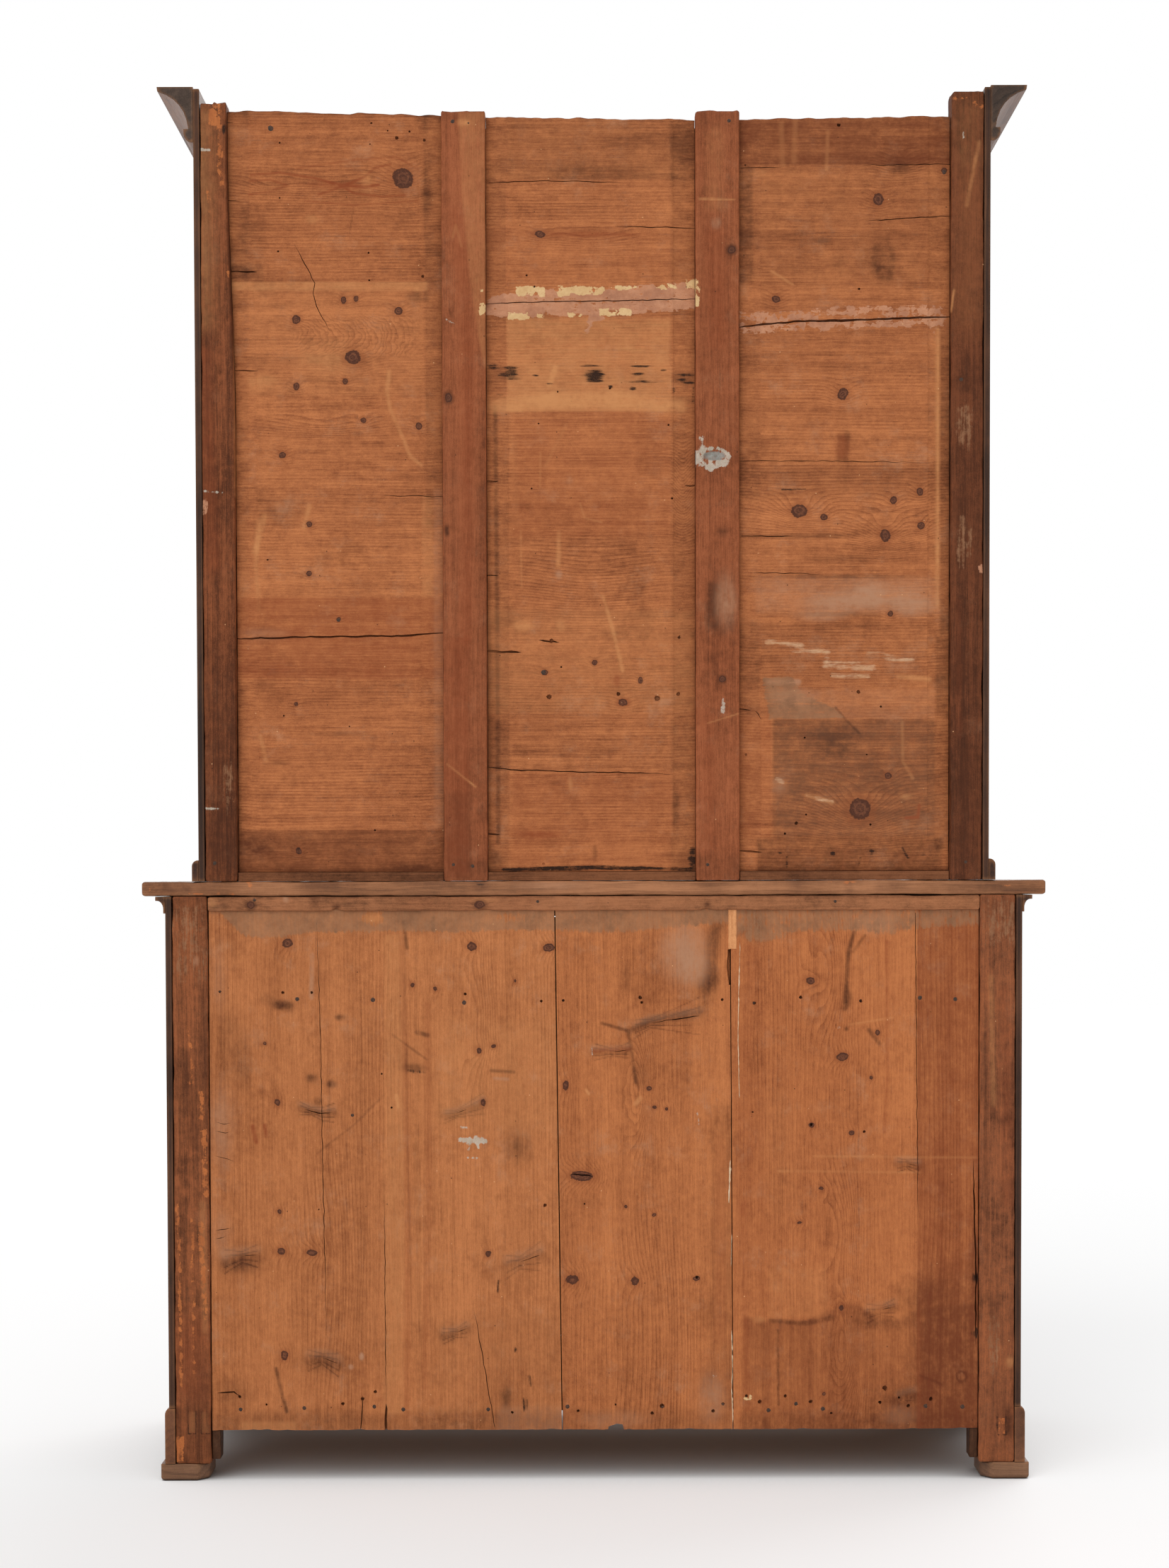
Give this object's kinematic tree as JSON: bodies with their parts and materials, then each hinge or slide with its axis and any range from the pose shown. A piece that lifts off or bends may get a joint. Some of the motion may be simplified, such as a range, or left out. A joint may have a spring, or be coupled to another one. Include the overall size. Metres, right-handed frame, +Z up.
{
  "type": "two-part sideboard",
  "caption": "Two-part sideboard: panelled base cupboard with drawers under a projecting table top, and a shallower panelled upper cupboard with a hollow cornice and a framed pine back.",
  "frame": {"origin": "on the floor, under the middle of the bounding box, which is the middle of the table top", "axes": "+Z up; -Y to the front with the doors; +Y to the pine back; +X to the right of someone facing the doors"},
  "size_m": [1.498, 0.5386, 2.303],
  "materials": {
    "old_pine": "aged bare pine, orange-brown, knotty, with stains and old repairs",
    "post_wood": "aged bare hardwood, red-brown, rubbed",
    "walnut": "waxed walnut, worn at the edges",
    "grey_walnut": "greyed end grain and edges of walnut, dusty",
    "inside_pine": "bare pine, paler than the back",
    "iron": "dark forged iron",
    "brass": "dulled old brass"
  },
  "bodies": {
    "base": {"base_top": "grey_walnut", "base_top_moulding": "walnut", "base_front_frame": "walnut", "base_side_left": "walnut", "base_side_right": "walnut", "base_post_back_left": "post_wood", "base_post_back_right": "post_wood", "base_back_rail": "post_wood", "base_back_board_left": "old_pine", "base_back_board_middle": "old_pine", "base_back_board_right": "old_pine", "base_bottom": "inside_pine", "base_shelf": "inside_pine", "base_drawer_floor": "inside_pine", "base_drawer_guide": "inside_pine", "base_plinth": "walnut", "foot_pad_back_left": "grey_walnut", "foot_pad_back_right": "grey_walnut", "foot_pad_front_left": "grey_walnut", "foot_pad_front_right": "grey_walnut", "base_door_left_hinge_lower": "iron", "base_door_left_hinge_upper": "iron", "base_door_right_hinge_lower": "iron", "base_door_right_hinge_upper": "iron"},
    "drawer_left": {"drawer_left_front": "walnut", "drawer_left_box": "inside_pine", "drawer_left_knob": "walnut"},
    "drawer_right": {"drawer_right_front": "walnut", "drawer_right_box": "inside_pine", "drawer_right_knob": "walnut"},
    "base_door_left": {"base_door_left_frame": "walnut", "base_door_left_panel": "walnut"},
    "base_door_right": {"base_door_right_frame": "walnut", "base_door_right_panel": "walnut"},
    "base_key": {"base_key": "brass"},
    "upper": {"upper_front_frame": "walnut", "upper_side_left": "walnut", "upper_side_right": "walnut", "upper_post_back_left": "post_wood", "upper_post_back_right": "post_wood", "upper_muntin_left": "post_wood", "upper_muntin_right": "post_wood", "upper_back_panel_left": "old_pine", "upper_back_panel_middle": "old_pine", "upper_back_panel_right": "old_pine", "upper_bottom": "inside_pine", "upper_top": "inside_pine", "upper_shelf_1": "inside_pine", "upper_shelf_2": "inside_pine", "upper_base_moulding": "walnut", "cornice": "grey_walnut", "upper_door_left_hinge_lower": "iron", "upper_door_left_hinge_upper": "iron", "upper_door_right_hinge_lower": "iron", "upper_door_right_hinge_upper": "iron"},
    "upper_door_left": {"upper_door_left_frame": "walnut", "upper_door_left_panel": "walnut"},
    "upper_door_right": {"upper_door_right_frame": "walnut", "upper_door_right_panel": "walnut"},
    "upper_key": {"upper_key": "brass"}
  },
  "joints": [
    {"name": "upper_lift", "type": "slide", "parent": "base", "child": "upper", "axis": [0, 0, 1], "range_m": [0, 0.06]},
    {"name": "drawer_left_slide", "type": "slide", "parent": "base", "child": "drawer_left", "axis": [0, -1, 0], "range_m": [0, 0.3]},
    {"name": "drawer_right_slide", "type": "slide", "parent": "base", "child": "drawer_right", "axis": [0, -1, 0], "range_m": [0, 0.3]},
    {"name": "base_door_left_swing", "type": "hinge", "parent": "base", "child": "base_door_left", "pos_m": [-0.6392, -0.23655, 0.46525], "axis": [0, 0, -1], "range_deg": [0, 110]},
    {"name": "base_door_right_swing", "type": "hinge", "parent": "base", "child": "base_door_right", "pos_m": [0.6392, -0.23655, 0.46525], "axis": [0, 0, 1], "range_deg": [0, 110]},
    {"name": "base_key_turn", "type": "hinge", "parent": "base_door_right", "child": "base_key", "pos_m": [0.069, -0.23075, 0.46525], "axis": [0, -1, 0], "range_deg": [0, 180]},
    {"name": "upper_door_left_swing", "type": "hinge", "parent": "upper", "child": "upper_door_left", "pos_m": [-0.5887, -0.09655, 1.60515], "axis": [0, 0, -1], "range_deg": [0, 110]},
    {"name": "upper_door_right_swing", "type": "hinge", "parent": "upper", "child": "upper_door_right", "pos_m": [0.5887, -0.09655, 1.60515], "axis": [0, 0, 1], "range_deg": [0, 110]},
    {"name": "upper_key_turn", "type": "hinge", "parent": "upper_door_right", "child": "upper_key", "pos_m": [0.03325, -0.09075, 1.60515], "axis": [0, -1, 0], "range_deg": [0, 180]}
  ]
}
